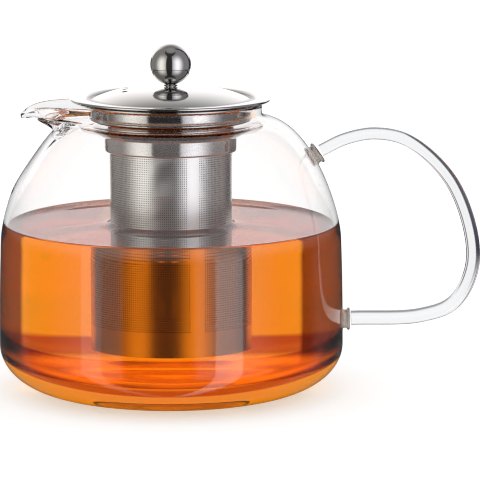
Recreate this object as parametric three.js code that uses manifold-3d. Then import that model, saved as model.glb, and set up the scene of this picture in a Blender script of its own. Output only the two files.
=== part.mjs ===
// Glass teapot in millimetres, +Z up.
//
// A blown glass body with a spout drawn out of its mouth and a solid glass rod handle fused on.
// A steel infuser basket hangs by its flange in the mouth, and a domed steel lid with a hollow
// ball knob rests on the infuser. The origin is on the body's axis, on its resting face.
// +X points to the handle and -X to the spout.

import * as THREE from 'three';
import { mergeVertices } from 'three/addons/utils/BufferGeometryUtils.js';
import Module from 'manifold-3d';

// Pieces that touch on the real object are drawn this far apart.
const GAP = 0.3;

// Glass body
const GLASS_WALL = 2.2;
const BODY_R = 75;
const BASE_FLAT_R = 46.6;
const BASE_CORNER_HEIGHT = 20.2;
const WALL_TOP_R = 74.1;
const WALL_TOP_Z = 67;
const SHOULDER_LOW_PULL = { r: 74.6, z: 79.3 };
const SHOULDER_HIGH_PULL = { r: 61.3, z: 116.7 };
const SHOULDER_R = 42.6;
const SHOULDER_Z = 119;
const NECK_R = 39.5;
const NECK_FOOT = { r: 39.7, z: 119.5 };
const NECK_Z = 121.8;
const MOUTH_Z = 125.5;

// Spout, drawn out of the mouth towards -X
const SPOUT_REACH = 26.2;
const SPOUT_HALF_WIDTH = 23.5;
const SPOUT_FULLNESS = 1.25;
const SPOUT_FOOT_Z = 113.4;
const SPOUT_FULL_Z = 123;
const SPOUT_DIP = 4;
const DIP_SHARPNESS = 7;
const DIP_FOOT_Z = 119.5;
const DIP_FULL_Z = 123.5;
const WAIST_DEPTH = 2.6;
const WAIST_Z = 108;
const WAIST_HALF_HEIGHT = 22;

// Handle rod, whose centre line runs through these points of the XZ plane
const ROD_R = 3;
const ROD_ROUTE = [
  [65.1, 104.9],
  [76, 110.1],
  [89, 112.4],
  [103.5, 109],
  [121.4, 92.4],
  [130.8, 68.4],
  [131, 52],
  [123.4, 37.8],
  [109, 32.2],
  [78.6, 31],
];

// The two fused joints that hold the rod, each turned up from level by its tilt in degrees
const WELD_DISC_R = 4.9;
const WELD_DISC_THICKNESS = 1.3;
const WELD_ROOT_R = 4.6;
const WELD_ROOT_LENGTH = 6;
const WELD_WAIST_R = 4;
const WELD_WAIST_SETBACK = 1.2;
const UPPER_WELD = { x: 63.7, z: 103.9, tilt: 36 };
const LOWER_WELD = { x: 77.4, z: 30.6, tilt: 0 };

// Infuser
const SHEET = 0.5;
const FLANGE_R = 40.4;
const FLANGE_Z = MOUTH_Z + GAP;
const COLLAR_R = 35.1;
const COLLAR_FOOT_Z = 117;
const PRESSED_BEND = 0.8;
const THROAT_R = 28.9;
const THROAT_TOP_Z = 112.6;
const THROAT_FOOT_Z = 105.2;
const BASKET_TOP_R = 26.6;
const BASKET_FOOT_R = 26.1;
const BASKET_TOP_Z = 109;
const BASKET_FOOT_Z = 20.4;
const BASE_DISH_DEPTH = 2;
const BASE_DISH_CORNER = 1.2;

// Lid
const LID_R = 43.8;
const LID_RIM_Z = 128.5;
const LID_HEM = 1.4;
const GROOVE_Z = FLANGE_Z + SHEET + GAP + SHEET;
const DOME_R = 35;
const DOME_TOP_Z = 132.9;
const DOME_POWER = 2.77;
const GROOVE_OUTER_R = 36.1;
const RIM_INNER_R = 38.3;
const SKIRT_PLAY = 0.6;
const SKIRT_R = COLLAR_R - SHEET - SKIRT_PLAY;
const SKIRT_FOOT_Z = 119;
const VENT_R = 1.35;
const VENT_X = -19.7;
const VENT_SPACING = 7;

// Knob
const BALL_R = 9;
const BALL_Z = 142.6;
const BALL_SHELL = 0.8;
const BALL_SEAM_DROP = 1.7;
const BALL_SEAM_GAP_DEGREES = 2;
const KNOB_NECK_R = 3;
const KNOB_NECK_TOP_Z = 133.7;
const INSERT_R = 4;
const INSERT_FOOT_Z = 135.6;
const INSERT_TOP_Z = 140.6;
const WASHER_R = 5;
const WASHER_THICKNESS = 0.8;
const SCREW_R = 1.9;
const SCREW_HOLE_R = 2.3;
const SCREW_TOP_Z = 139.6;
const SCREW_HEAD_R = 3.7;
const SCREW_HEAD_HEIGHT = 2.4;

// Facets round each piece
const BODY_SIDES = 60;
const STEEL_SIDES = 40;
const SMALL_SIDES = 20;

const wasm = await Module();
wasm.setup();

const point = (radius, height) => new THREE.Vector2(radius, height);

// A body of revolution about +Z. The outline runs up its outer side.
function turned(outline, sides) {
  const geometry = new THREE.LatheGeometry(outline, sides);
  return geometry.rotateX(Math.PI / 2);
}

// A ring of revolution, whose outline closes on itself.
function turnedRing(outline, sides) {
  return turned([...outline, outline[0]], sides);
}

// The outline moved by a distance to the right of its direction of travel.
function offsetOutline(outline, distance) {
  return outline.map((here, i) => {
    const before = outline[Math.max(i - 1, 0)];
    const after = outline[Math.min(i + 1, outline.length - 1)];
    const along = after.clone().sub(before).normalize();
    return point(here.x + along.y * distance, here.y - along.x * distance);
  });
}

// Sheet metal. The outline is one of its faces, and the other is to the left of it.
function sheet(outline, thickness) {
  return [...outline, ...offsetOutline(outline, -thickness).reverse()];
}

function arc(centreRadius, centreHeight, radius, startDegrees, endDegrees, steps) {
  return Array.from({ length: steps + 1 }, (_, i) => {
    const angle = THREE.MathUtils.degToRad(startDegrees + ((endDegrees - startDegrees) * i) / steps);
    return point(centreRadius + radius * Math.cos(angle), centreHeight + radius * Math.sin(angle));
  });
}

function toManifold(geometry) {
  const bare = geometry.clone();
  bare.deleteAttribute('normal');
  bare.deleteAttribute('uv');
  const merged = mergeVertices(bare, 1e-3);
  const vertProperties = new Float32Array(merged.getAttribute('position').array);
  const triVerts = new Uint32Array(merged.getIndex().array);
  return new wasm.Manifold(new wasm.Mesh({ numProp: 3, vertProperties, triVerts }));
}

function fromManifold(solid) {
  const mesh = solid.getMesh();
  const geometry = new THREE.BufferGeometry();
  geometry.setAttribute('position', new THREE.BufferAttribute(mesh.vertProperties, 3));
  geometry.setIndex(new THREE.BufferAttribute(mesh.triVerts, 1));
  return geometry;
}

// Glass body --------------------------------------------------------------------------------

// Outer face of the body, from the middle of the base up to the mouth.
function bodyOutline() {
  const corner = new THREE.EllipseCurve(
    BASE_FLAT_R,
    BASE_CORNER_HEIGHT,
    BODY_R - BASE_FLAT_R,
    BASE_CORNER_HEIGHT,
    -Math.PI / 2,
    0,
  );
  const shoulder = new THREE.CubicBezierCurve(
    point(WALL_TOP_R, WALL_TOP_Z),
    point(SHOULDER_LOW_PULL.r, SHOULDER_LOW_PULL.z),
    point(SHOULDER_HIGH_PULL.r, SHOULDER_HIGH_PULL.z),
    point(SHOULDER_R, SHOULDER_Z),
  );
  const neck = new THREE.QuadraticBezierCurve(
    point(SHOULDER_R, SHOULDER_Z),
    point(NECK_FOOT.r, NECK_FOOT.z),
    point(NECK_R, NECK_Z),
  );
  const mouth = point(NECK_R, MOUTH_Z - GLASS_WALL / 2);
  return [
    point(0, 0),
    ...corner.getPoints(5),
    ...shoulder.getPoints(9),
    ...neck.getPoints(3).slice(1),
    mouth,
  ];
}

// Draws the spout out of the mouth. The rim moves towards -X and dips at the tip, and the
// shoulder under it is drawn in to a slight waist.
function drawSpout(geometry) {
  const { smoothstep } = THREE.MathUtils;
  const position = geometry.getAttribute('position');
  for (let i = 0; i < position.count; i += 1) {
    const across = Math.abs(position.getY(i)) / SPOUT_HALF_WIDTH;
    const height = position.getZ(i);
    if (position.getX(i) < 0 && across < 1) {
      const share = (1 - across ** 2) ** SPOUT_FULLNESS;
      const rise = smoothstep(height, SPOUT_FOOT_Z, SPOUT_FULL_Z);
      const toWaist = Math.min(Math.abs(height - WAIST_Z) / WAIST_HALF_HEIGHT, 1);
      const waist = WAIST_DEPTH * (1 - toWaist ** 2) ** 2;
      const dip = SPOUT_DIP * share ** DIP_SHARPNESS * smoothstep(height, DIP_FOOT_Z, DIP_FULL_Z);
      position.setX(i, position.getX(i) + share * (waist - SPOUT_REACH * rise));
      position.setZ(i, height - dip);
    }
  }
  return geometry;
}

function glassBody() {
  const outer = bodyOutline();
  const inner = offsetOutline(outer, -GLASS_WALL).reverse();
  const rim = arc(NECK_R - GLASS_WALL / 2, MOUTH_Z - GLASS_WALL / 2, GLASS_WALL / 2, 0, 180, 4);
  return drawSpout(turned([...outer, ...rim.slice(1, -1), ...inner], BODY_SIDES));
}

// Handle ------------------------------------------------------------------------------------

// Rod from the upper joint, out over the hand and back to the lower joint.
function glassHandle() {
  const stops = ROD_ROUTE.map(([x, z]) => new THREE.Vector3(x, 0, z));
  const route = new THREE.CatmullRomCurve3(stops, false, 'centripetal');
  const section = new THREE.Shape();
  section.absarc(0, 0, ROD_R, 0, 2 * Math.PI);
  return new THREE.ExtrudeGeometry(section, {
    extrudePath: route,
    steps: 36,
    curveSegments: 6,
    bevelEnabled: false,
  });
}

// A fused joint: a waisted stub that ends in a flared disc, trimmed to the body's outside.
function fusedJoint({ x, z, tilt }) {
  const edgeR = WELD_DISC_THICKNESS / 2;
  const outline = [
    point(0, -WELD_ROOT_LENGTH),
    point(WELD_ROOT_R, -WELD_ROOT_LENGTH),
    point(WELD_WAIST_R, -WELD_WAIST_SETBACK),
    ...arc(WELD_DISC_R - edgeR, 0, edgeR, -90, 90, 4),
    point(0, edgeR),
  ];
  const stub = turned(outline, SMALL_SIDES);
  stub.rotateY(THREE.MathUtils.degToRad(90 - tilt));
  stub.translate(x, 0, z);
  const clearance = offsetOutline(bodyOutline(), GAP);
  clearance[0].x = 0;
  const trimmer = turned([...clearance, point(0, MOUTH_Z)], BODY_SIDES);
  return fromManifold(toManifold(stub).subtract(toManifold(trimmer)));
}

// Infuser -----------------------------------------------------------------------------------

// Flange, collar, taper and throat, pressed from one sheet. The outline is its outer face.
function infuserCollar() {
  const halfBend = PRESSED_BEND / 2;
  const outer = [
    point(BASKET_TOP_R + GAP, THROAT_FOOT_Z),
    point(THROAT_R - PRESSED_BEND, THROAT_FOOT_Z),
    point(THROAT_R, THROAT_FOOT_Z + PRESSED_BEND),
    point(THROAT_R, THROAT_TOP_Z - halfBend),
    point(THROAT_R + PRESSED_BEND, THROAT_TOP_Z + halfBend),
    point(COLLAR_R - PRESSED_BEND, COLLAR_FOOT_Z - halfBend),
    point(COLLAR_R, COLLAR_FOOT_Z + PRESSED_BEND),
    point(COLLAR_R, FLANGE_Z - PRESSED_BEND),
    point(COLLAR_R + PRESSED_BEND, FLANGE_Z),
    point(FLANGE_R, FLANGE_Z),
  ];
  return turnedRing(sheet(outer, SHEET), STEEL_SIDES);
}

function basketWall() {
  const outline = [
    point(BASKET_FOOT_R, BASKET_FOOT_Z),
    point(BASKET_TOP_R, BASKET_TOP_Z),
    point(BASKET_TOP_R - SHEET, BASKET_TOP_Z),
    point(BASKET_FOOT_R - SHEET, BASKET_FOOT_Z),
  ];
  return turnedRing(outline, STEEL_SIDES);
}

// A shallow dish that closes the basket, with its edge turned up inside the wall.
function basketBase() {
  const edgeR = BASKET_FOOT_R - SHEET - GAP;
  const faceZ = BASKET_FOOT_Z + GAP;
  const outer = [
    point(0, faceZ),
    ...arc(edgeR - BASE_DISH_CORNER, faceZ + BASE_DISH_CORNER, BASE_DISH_CORNER, -90, 0, 3),
    point(edgeR, faceZ + BASE_DISH_DEPTH),
  ];
  return turned(sheet(outer, SHEET), STEEL_SIDES);
}

// Lid ---------------------------------------------------------------------------------------

const domeHeight = (radius) =>
  GROOVE_Z + (DOME_TOP_Z - GROOVE_Z) * (1 - (radius / DOME_R) ** DOME_POWER);

// Dome, groove and hemmed rim in one sheet, with a hole for the knob's screw and three vents.
function lidPlate() {
  const domeSteps = 7;
  const top = Array.from({ length: domeSteps + 1 }, (_, i) => {
    const radius = SCREW_HOLE_R + ((DOME_R - SCREW_HOLE_R) * i) / domeSteps;
    return point(radius, domeHeight(radius));
  });
  top.push(
    point(GROOVE_OUTER_R, GROOVE_Z),
    point((GROOVE_OUTER_R + RIM_INNER_R) / 2, LID_RIM_Z - SHEET),
    point(RIM_INNER_R, LID_RIM_Z),
  );
  const underside = offsetOutline(top, SHEET);
  const halfHem = LID_HEM / 2;
  const hemR = LID_R - halfHem;
  const hem = arc(hemR, LID_RIM_Z - halfHem, halfHem, -90, 90, 4);
  const hemRoot = point(hemR - LID_HEM, LID_RIM_Z - SHEET);
  const outline = [...underside, hemRoot, ...hem, ...top.reverse()];
  let plate = toManifold(turnedRing(outline, STEEL_SIDES));
  for (const row of [-1, 0, 1]) {
    const vent = new THREE.CylinderGeometry(VENT_R, VENT_R, 8, 16);
    vent.rotateX(Math.PI / 2);
    vent.translate(VENT_X, row * VENT_SPACING, domeHeight(-VENT_X));
    plate = plate.subtract(toManifold(vent));
  }
  return fromManifold(plate);
}

// The ring under the lid that steadies it in the infuser's collar.
function lidSkirt() {
  const top = domeHeight(SKIRT_R) - SHEET - GAP;
  const outline = [point(SKIRT_R, SKIRT_FOOT_Z), point(SKIRT_R, top)];
  return turnedRing(sheet(outline, SHEET), STEEL_SIDES);
}

// Knob --------------------------------------------------------------------------------------

const seamAngle = -THREE.MathUtils.radToDeg(Math.asin(BALL_SEAM_DROP / BALL_R));

function knobUpperHalf() {
  const edge = seamAngle + BALL_SEAM_GAP_DEGREES / 2;
  const inner = arc(0, BALL_Z, BALL_R - BALL_SHELL, 90, edge, 8);
  const outer = arc(0, BALL_Z, BALL_R, edge, 90, 8);
  return turned([...inner, ...outer], SMALL_SIDES);
}

function knobLowerHalf() {
  const holeAngle = -THREE.MathUtils.radToDeg(Math.acos(SCREW_HOLE_R / BALL_R));
  const edge = seamAngle - BALL_SEAM_GAP_DEGREES / 2;
  const outer = arc(0, BALL_Z, BALL_R, holeAngle, edge, 6);
  const inner = arc(0, BALL_Z, BALL_R - BALL_SHELL, edge, holeAngle, 6);
  return turnedRing([...outer, ...inner], SMALL_SIDES);
}

// A straight-sided ring with its middle on the axis.
function collarRing(innerR, outerR, low, high) {
  const outline = [point(outerR, low), point(outerR, high), point(innerR, high), point(innerR, low)];
  return turnedRing(outline, SMALL_SIDES);
}

const knobNeck = () =>
  collarRing(SCREW_HOLE_R, KNOB_NECK_R, DOME_TOP_Z + GAP, KNOB_NECK_TOP_Z);

const knobInsert = () => collarRing(SCREW_HOLE_R, INSERT_R, INSERT_FOOT_Z, INSERT_TOP_Z);

const washerTop = DOME_TOP_Z - SHEET - GAP;
const washerFoot = washerTop - WASHER_THICKNESS;

const knobWasher = () => collarRing(SCREW_HOLE_R, WASHER_R, washerFoot, washerTop);

// A pan-head screw that comes up through the lid into the insert.
function knobScrew() {
  const headTop = washerFoot - GAP;
  const outline = [
    point(0, headTop - SCREW_HEAD_HEIGHT),
    point(SCREW_HEAD_R - SCREW_HEAD_HEIGHT / 2, headTop - SCREW_HEAD_HEIGHT),
    point(SCREW_HEAD_R, headTop - SCREW_HEAD_HEIGHT / 2),
    point(SCREW_HEAD_R, headTop),
    point(SCREW_R, headTop),
    point(SCREW_R, SCREW_TOP_Z),
    point(0, SCREW_TOP_Z),
  ];
  return turned(outline, SMALL_SIDES);
}

// Materials and assembly --------------------------------------------------------------------

const glass = () =>
  new THREE.MeshStandardMaterial({
    color: 0xf2f6f6,
    roughness: 0.03,
    metalness: 0,
    transparent: true,
    opacity: 0.35,
  });
const polishedSteel = () =>
  new THREE.MeshStandardMaterial({ color: 0xcfcdc9, roughness: 0.08, metalness: 1 });
const satinSteel = () =>
  new THREE.MeshStandardMaterial({ color: 0xb9b6b0, roughness: 0.3, metalness: 1 });

const teapot = new THREE.Group();
const pieces = [
  ['glass_body', glassBody(), glass()],
  ['glass_handle', glassHandle(), glass()],
  ['handle_upper_joint', fusedJoint(UPPER_WELD), glass()],
  ['handle_lower_joint', fusedJoint(LOWER_WELD), glass()],
  ['infuser_collar', infuserCollar(), polishedSteel()],
  ['basket_wall', basketWall(), satinSteel()],
  ['basket_base', basketBase(), satinSteel()],
  ['lid_plate', lidPlate(), polishedSteel()],
  ['lid_skirt', lidSkirt(), satinSteel()],
  ['knob_upper_half', knobUpperHalf(), polishedSteel()],
  ['knob_lower_half', knobLowerHalf(), polishedSteel()],
  ['knob_neck', knobNeck(), polishedSteel()],
  ['knob_insert', knobInsert(), satinSteel()],
  ['knob_washer', knobWasher(), satinSteel()],
  ['knob_screw', knobScrew(), satinSteel()],
];
for (const [name, geometry, material] of pieces) {
  const mesh = new THREE.Mesh(geometry, material);
  mesh.name = name;
  teapot.add(mesh);
}

export default teapot;
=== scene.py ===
import math

import bpy
import numpy as np
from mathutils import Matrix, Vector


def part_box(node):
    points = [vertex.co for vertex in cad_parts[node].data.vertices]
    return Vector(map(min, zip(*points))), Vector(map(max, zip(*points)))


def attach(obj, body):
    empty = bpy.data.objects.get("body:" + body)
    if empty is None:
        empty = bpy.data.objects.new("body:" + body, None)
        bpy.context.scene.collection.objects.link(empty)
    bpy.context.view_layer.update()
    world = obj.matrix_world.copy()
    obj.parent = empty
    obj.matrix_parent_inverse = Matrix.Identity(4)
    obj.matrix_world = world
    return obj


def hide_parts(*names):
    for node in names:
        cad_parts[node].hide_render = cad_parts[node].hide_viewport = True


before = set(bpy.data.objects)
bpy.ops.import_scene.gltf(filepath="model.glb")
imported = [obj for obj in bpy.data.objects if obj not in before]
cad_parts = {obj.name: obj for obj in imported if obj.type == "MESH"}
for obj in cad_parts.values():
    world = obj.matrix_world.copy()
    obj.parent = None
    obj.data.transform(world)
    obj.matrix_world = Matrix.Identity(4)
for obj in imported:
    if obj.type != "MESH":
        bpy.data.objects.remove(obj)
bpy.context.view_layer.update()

MM = 0.001


def top_of(node):
    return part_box(node)[1].z / MM


def foot_of(node):
    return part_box(node)[0].z / MM


def radius_of(node):
    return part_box(node)[1].y / MM


# Sizes in millimetres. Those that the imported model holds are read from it.
SHEET = 0.5
GLASS_WALL = 2.2
BODY_R = 75.0
BASE_FLAT_R = 46.6
BASE_CORNER_HEIGHT = 20.2
NECK_R = 39.5
MOUTH_Z = top_of("glass_body")
SPOUT_REACH = 26.2
SPOUT_HALF_WIDTH = 23.5
SPOUT_FULLNESS = 1.25
SPOUT_FOOT_Z = 113.4
SPOUT_FULL_Z = 123.0
SPOUT_DIP = 4.0
DIP_SHARPNESS = 7
DIP_FOOT_Z = 119.5
DIP_FULL_Z = 123.5
WAIST_DEPTH = 2.6
WAIST_Z = 108.0
WAIST_HALF_HEIGHT = 22.0

ROD_ROUTE = (
    (65.1, 104.9),
    (76, 110.1),
    (89, 112.4),
    (103.5, 109),
    (121.4, 92.4),
    (130.8, 68.4),
    (131, 52),
    (123.4, 37.8),
    (109, 32.2),
    (78.6, 31),
)
ROD_UPPER_R = 2.65
ROD_LOWER_R = 3.15
UPPER_WELD = (63.7, 103.9, 36.0)
LOWER_WELD = (77.4, 30.6, 0.0)
WELD_DISC_R = 4.9
WELD_EDGE_R = 0.65

FLANGE_Z = top_of("infuser_collar")
FLANGE_R = radius_of("infuser_collar")
COLLAR_R = 35.1
COLLAR_FOOT_Z = 117.0
PRESSED_BEND = 0.8
THROAT_R = 28.9
THROAT_TOP_Z = 112.6
THROAT_FOOT_Z = foot_of("infuser_collar")
BASKET_TOP_R = radius_of("basket_wall")
BASKET_FOOT_R = BASKET_TOP_R - 0.5
BASKET_TOP_Z = top_of("basket_wall")
BASKET_FOOT_Z = foot_of("basket_wall")
MESH_SHEET = 0.35
HOLE_R = 0.26
HOLE_COLUMNS = 192
HOLE_ROWS = 77
HOLES_TOP_Z = 104.8
HOLES_FOOT_Z = 31.0
SEAM_AZIMUTH = 22.0
SEAM_COLUMNS = 6
SECTORS = 4

LID_R = radius_of("lid_plate")
LID_RIM_Z = 128.5
LID_HEM = 1.4
GROOVE_Z = 127.1
DOME_R = 35.0
DOME_TOP_Z = top_of("lid_plate")
DOME_POWER = 2.77
SCREW_HOLE_R = 2.3
VENT_R = 1.35
VENT_X = -19.7
VENT_SPACING = 7.0
VENT_SIDES = 24
SKIRT_R = radius_of("lid_skirt")
SKIRT_FOOT_Z = foot_of("lid_skirt")
SKIRT_TOP_Z = top_of("lid_skirt")
BALL_R = 9.0
BALL_Z = top_of("knob_upper_half") - BALL_R
BALL_SHELL = 0.8
BALL_SEAM_DROP = 1.7

TEA_Z = 72.06
MENISCUS = 1.8
MENISCUS_REACH = 1.9


# Camera ------------------------------------------------------------------------------------
CAMERA_PLACE = (0.03002, -1.5459, 0.31795)
CAMERA_PITCH = 0.1619
CAMERA_LENS = 269.25

camera_data = bpy.data.cameras.new("camera")
camera_data.lens = CAMERA_LENS
camera_data.sensor_width = 36
camera_data.clip_end = 50
camera = bpy.data.objects.new("camera", camera_data)
camera.location = CAMERA_PLACE
camera.rotation_euler = (math.pi / 2 - CAMERA_PITCH, 0, 0)
bpy.context.collection.objects.link(camera)
scene = bpy.context.scene
scene.camera = camera
scene.view_settings.view_transform = "Standard"
scene.cycles.max_bounces = 24
scene.cycles.transmission_bounces = 24
scene.cycles.glossy_bounces = 10
scene.cycles.diffuse_bounces = 3
scene.cycles.transparent_max_bounces = 16
scene.cycles.caustics_refractive = True
scene.cycles.caustics_reflective = True
scene.cycles.blur_glossy = 0.3
scene.cycles.sample_clamp_indirect = 6.0
scene.cycles.use_denoising = True
scene.cycles.denoising_prefilter = "ACCURATE"
scene.cycles.filter_width = 1.2


# Node helpers ------------------------------------------------------------------------------
class Tree:
    """A short way to add and join shader nodes."""

    def __init__(self, owner):
        owner.use_nodes = True
        self.tree = owner.node_tree
        self.tree.nodes.clear()

    def node(self, kind, inputs=(), **settings):
        made = self.tree.nodes.new("ShaderNode" + kind)
        for name, value in settings.items():
            setattr(made, name, value)
        for name, value in dict(inputs).items():
            if isinstance(value, bpy.types.NodeSocket):
                self.tree.links.new(value, made.inputs[name])
            else:
                made.inputs[name].default_value = value
        return made

    def math(self, operation, a, b=0.0, c=0.0):
        return self.node("Math", {0: a, 1: b, 2: c}, operation=operation).outputs[0]

    def step(self, value, low, high, start=0.0, end=1.0):
        """A smooth change from start to end as value goes from low to high."""
        made = self.node("MapRange", {0: value, 1: low, 2: high, 3: start, 4: end})
        made.interpolation_type = "SMOOTHSTEP"
        return made.outputs[0]

    def mix(self, factor, a, b):
        made = self.node("Mix", data_type="RGBA")
        for index, value in ((0, factor), (6, a), (7, b)):
            if isinstance(value, bpy.types.NodeSocket):
                self.tree.links.new(value, made.inputs[index])
            else:
                made.inputs[index].default_value = value
        return made.outputs[2]

    def out(self, kind, surface, volume=None):
        end = self.tree.nodes.new("ShaderNodeOutput" + kind)
        self.tree.links.new(surface, end.inputs["Surface"])
        if volume is not None:
            self.tree.links.new(volume, end.inputs["Volume"])


def noise(tree, scale, stretch=(1, 1, 1), detail=3.0, roughness=0.5):
    """Noise that stays with the piece that shows it."""
    place = tree.node("TexCoord").outputs["Object"]
    mapped = tree.node("Mapping", {"Vector": place, "Scale": stretch}).outputs[0]
    settings = {"Vector": mapped, "Scale": scale, "Detail": detail, "Roughness": roughness}
    return tree.node("TexNoise", settings).outputs[0]


# Studio ------------------------------------------------------------------------------------
# Azimuths and rises are in degrees. Azimuth 0 lies behind the pot, 90 past its handle and -90
# past its spout. A pair of them says where a soft change starts and ends.
BACK_SIDE = (22, 28)
BACK_FADE = (12, 60)
BACK_LOW = 1.36
BACK_HIGH = 0.22
HIGH_FLANK_RISE = (2, 10)
HIGH_FLANK_SIDE = (38, 46)
FLANK = 0.04

# Each soft box: its side, its near and far edge from the camera, its hottest line and its power
SOFT_BOXES = (
    (-1, (152, 158), (38, 46), -128, 1.05),
    (1, (167, 173), (53, 61), 139, 1.25),
)
BOX_LEAN_RISE = (46, 84)
BOX_LEAN = 110.0
BOX_SPREAD = 43.0
BOX_FADE = (12, 58)
BOX_BASE = 0.26
BOX_GAIN_IN_POT = 0.3
BOX_SHIFT_IN_POT = 7.0
TOP_RISE = (62, 78)
TOP_LIGHT = 0.32
LOW_RISE = (-38, -24)
LOW_LIGHT = 0.1
TINT_TURN = (-60, 60)
GREEN_SHARE = (0.97, 0.985)
BLUE_SHARE = (0.92, 1.04)

# How many glass surfaces a ray has passed once it is inside the pot, and inside the tea
INTO_POT = 3.5
INTO_TEA = 4.5

# Dark cards that the clear glass bends into view: middle, half width and softness of their edge
FAR_CARD = (67, 17)
FAR_CARD_EDGE = (0.0, 0.4)
NEAR_CARD = (36, 9)
NEAR_CARD_EDGE = (0.0, 0.6)
NEAR_CARD_SHARE = 0.8
CARD_TOP = (25, 35)
CARD_FOOT = (-30, -22)
STEEP_RISE = (30, 50)
STEEP_SHARE = 0.75
STREAK_START, STREAK_END = (-88, -78), (-16, -7)
STREAK_FOOT, STREAK_TOP = (-60, -50), (-12, 4)
CARD_SHARE_IN_POT = 0.45
CARD_COLOUR = (0.05, 0.055, 0.08, 1)
PLAIN_IN_ROD = (0.95, 0.95, 0.96, 1)
PLAIN_IN_POT = (1.1, 1.1, 1.1, 1)

# What is seen through the tea, with a warmer line along the table's edge
TABLE_EDGE = (-0.5, 5.0)
TABLE_EDGE_SOFT = (0.0, 0.35)
TABLE_EDGE_LIGHT = (1.2, 0.9, 0.8, 1)
TEA_LIGHT = (1.34, 1.2, 1.0, 1)
WARM = (1.08, 0.66, 0.42, 1)

# What rays see that the tea's surface or the inside of the glass has thrown back
UPWARD = (-1, 1)
SURFACE_SIDE = (45, 60)
SURFACE_LIGHT = (1.2, 1.1, 1.1, 1)
THROWN_UP_RISE = (15, 35)
THROWN_UP_LOW = (0.75, 0.4, 0.35, 1)
THROWN_UP_HIGH = (1.35, 1.3, 1.2, 1)
GLASS_STRIPS = ((-126, (6.5, 8.5), 0.8), (140, (8.5, 10.5), 1.8))
STRIP_DARK = 0.05
SKY_RISE = (-5, 12)
SKY_ON_GLASS = (1.05, 1.05, 1.05, 1)
IN_WALL_SIDE = (60, 75)
FLOOR_SKY = (0.8, 0.8, 0.8, 1)

FLOOR_GLOW = 0.45
FLOOR_REACH = 6.0
FLOOR_Z = -0.0004
UNDER_POT_R = 0.062
UNDER_POT_PLAIN = (1.0, 0.36, 0.04, 1)
UNDER_POT_MIRRORED = (0.12, 0.05, 0.02, 1)
UNDER_POT_AGAIN = (0.25, 0.1, 0.03, 1)
WHITE = (1.0, 1.0, 1.0, 1)


def bump_of(t, value, centre, width):
    """A smooth hill of height 1 about centre."""
    away = t.math("ABSOLUTE", t.math("SUBTRACT", value, centre))
    return t.step(away, 0.0, width, 1.0, 0.0)


def steel_light(t, azimuth, rise, in_pot):
    """The colour that steel mirrors: a bright back, two soft boxes, and dark flanks and a dark
    gap for the camera between them."""
    wide = t.math("ABSOLUTE", azimuth)
    behind = t.step(wide, *BACK_SIDE, 1.0, 0.0)
    high_flank = t.step(wide, *HIGH_FLANK_SIDE, 1.0, 0.0)
    high_flank = t.math("MULTIPLY", t.step(rise, *HIGH_FLANK_RISE), high_flank)
    behind = t.math("MAXIMUM", behind, high_flank)
    back_light = t.step(rise, *BACK_FADE, BACK_LOW, BACK_HIGH)
    seen = t.math("MULTIPLY", behind, t.math("SUBTRACT", back_light, FLANK))
    seen = t.math("ADD", seen, FLANK)
    for side, near, far, hot, power in SOFT_BOXES:
        turned = t.math("MULTIPLY", azimuth, side)
        nearer = t.math("ADD", turned, t.math("MULTIPLY", in_pot, BOX_SHIFT_IN_POT))
        nearer = t.math("ADD", nearer, t.step(rise, *BOX_LEAN_RISE, 0.0, BOX_LEAN))
        panel = t.math("MULTIPLY", t.step(nearer, *near, 1.0, 0.0), t.step(turned, *far))
        hill = bump_of(t, azimuth, hot, BOX_SPREAD)
        glow = t.math("MULTIPLY", hill, t.step(rise, *BOX_FADE, 1.0, 0.0))
        stronger = t.math("ADD", power, t.math("MULTIPLY", in_pot, BOX_GAIN_IN_POT))
        glow = t.math("ADD", t.math("MULTIPLY", glow, stronger), BOX_BASE)
        added = t.math("MULTIPLY", panel, t.math("SUBTRACT", glow, FLANK))
        seen = t.math("ADD", seen, added)
    for share, light in (
        (t.step(rise, *TOP_RISE), TOP_LIGHT),
        (t.step(rise, *LOW_RISE, 1.0, 0.0), LOW_LIGHT),
    ):
        change = t.math("MULTIPLY", share, t.math("SUBTRACT", light, seen))
        seen = t.math("ADD", seen, change)
    green = t.math("MULTIPLY", seen, t.step(azimuth, *TINT_TURN, *GREEN_SHARE))
    blue = t.math("MULTIPLY", seen, t.step(azimuth, *TINT_TURN, *BLUE_SHARE))
    return t.node("CombineColor", {0: seen, 1: green, 2: blue}).outputs[0]


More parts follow.
